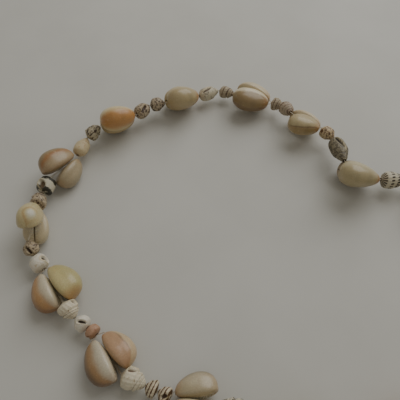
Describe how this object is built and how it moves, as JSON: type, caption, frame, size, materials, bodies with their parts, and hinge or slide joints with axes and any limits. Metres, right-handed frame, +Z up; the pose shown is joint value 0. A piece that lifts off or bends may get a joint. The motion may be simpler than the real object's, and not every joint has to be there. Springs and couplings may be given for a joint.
{
  "type": "shell necklace",
  "caption": "Shell necklace lying in an open loop: pairs of cowries set mouth to mouth like butterflies, with little spiral and smooth sea shells strung between them.",
  "frame": {"origin": "middle of the loop's extent, on the surface that it lies on", "axes": "+X to the right and +Y away from the viewer, along the picture; +Z up"},
  "size_m": [0.3048, 0.274, 0.0308],
  "materials": {
    "cowrie": "satin",
    "ribbed_shell": "satin",
    "smooth_shell": "satin",
    "thread": "matte"
  },
  "bodies": {
    "root": {"cowrie_01_left": "cowrie", "cowrie_01_right": "cowrie", "cowrie_02_left": "cowrie", "cowrie_02_right": "cowrie", "cowrie_03_left": "cowrie", "cowrie_03_right": "cowrie", "cowrie_04_left": "cowrie", "cowrie_04_right": "cowrie", "cowrie_05_left": "cowrie", "cowrie_05_right": "cowrie", "cowrie_06_left": "cowrie", "cowrie_06_right": "cowrie", "cowrie_07_left": "cowrie", "cowrie_07_right": "cowrie", "cowrie_08_left": "cowrie", "cowrie_08_right": "cowrie", "cowrie_09_left": "cowrie", "cowrie_09_right": "cowrie", "cowrie_10_left": "cowrie", "cowrie_10_right": "cowrie", "cowrie_11_left": "cowrie", "cowrie_11_right": "cowrie", "cowrie_12_left": "cowrie", "cowrie_12_right": "cowrie", "cowrie_13_left": "cowrie", "cowrie_13_right": "cowrie", "cowrie_14_left": "cowrie", "cowrie_14_right": "cowrie", "cowrie_15_left": "cowrie", "cowrie_15_right": "cowrie", "ribbed_shells": "ribbed_shell", "smooth_shells": "smooth_shell", "thread_left": "thread", "thread_right": "thread", "thread_knot": "thread"}
  },
  "joints": []
}
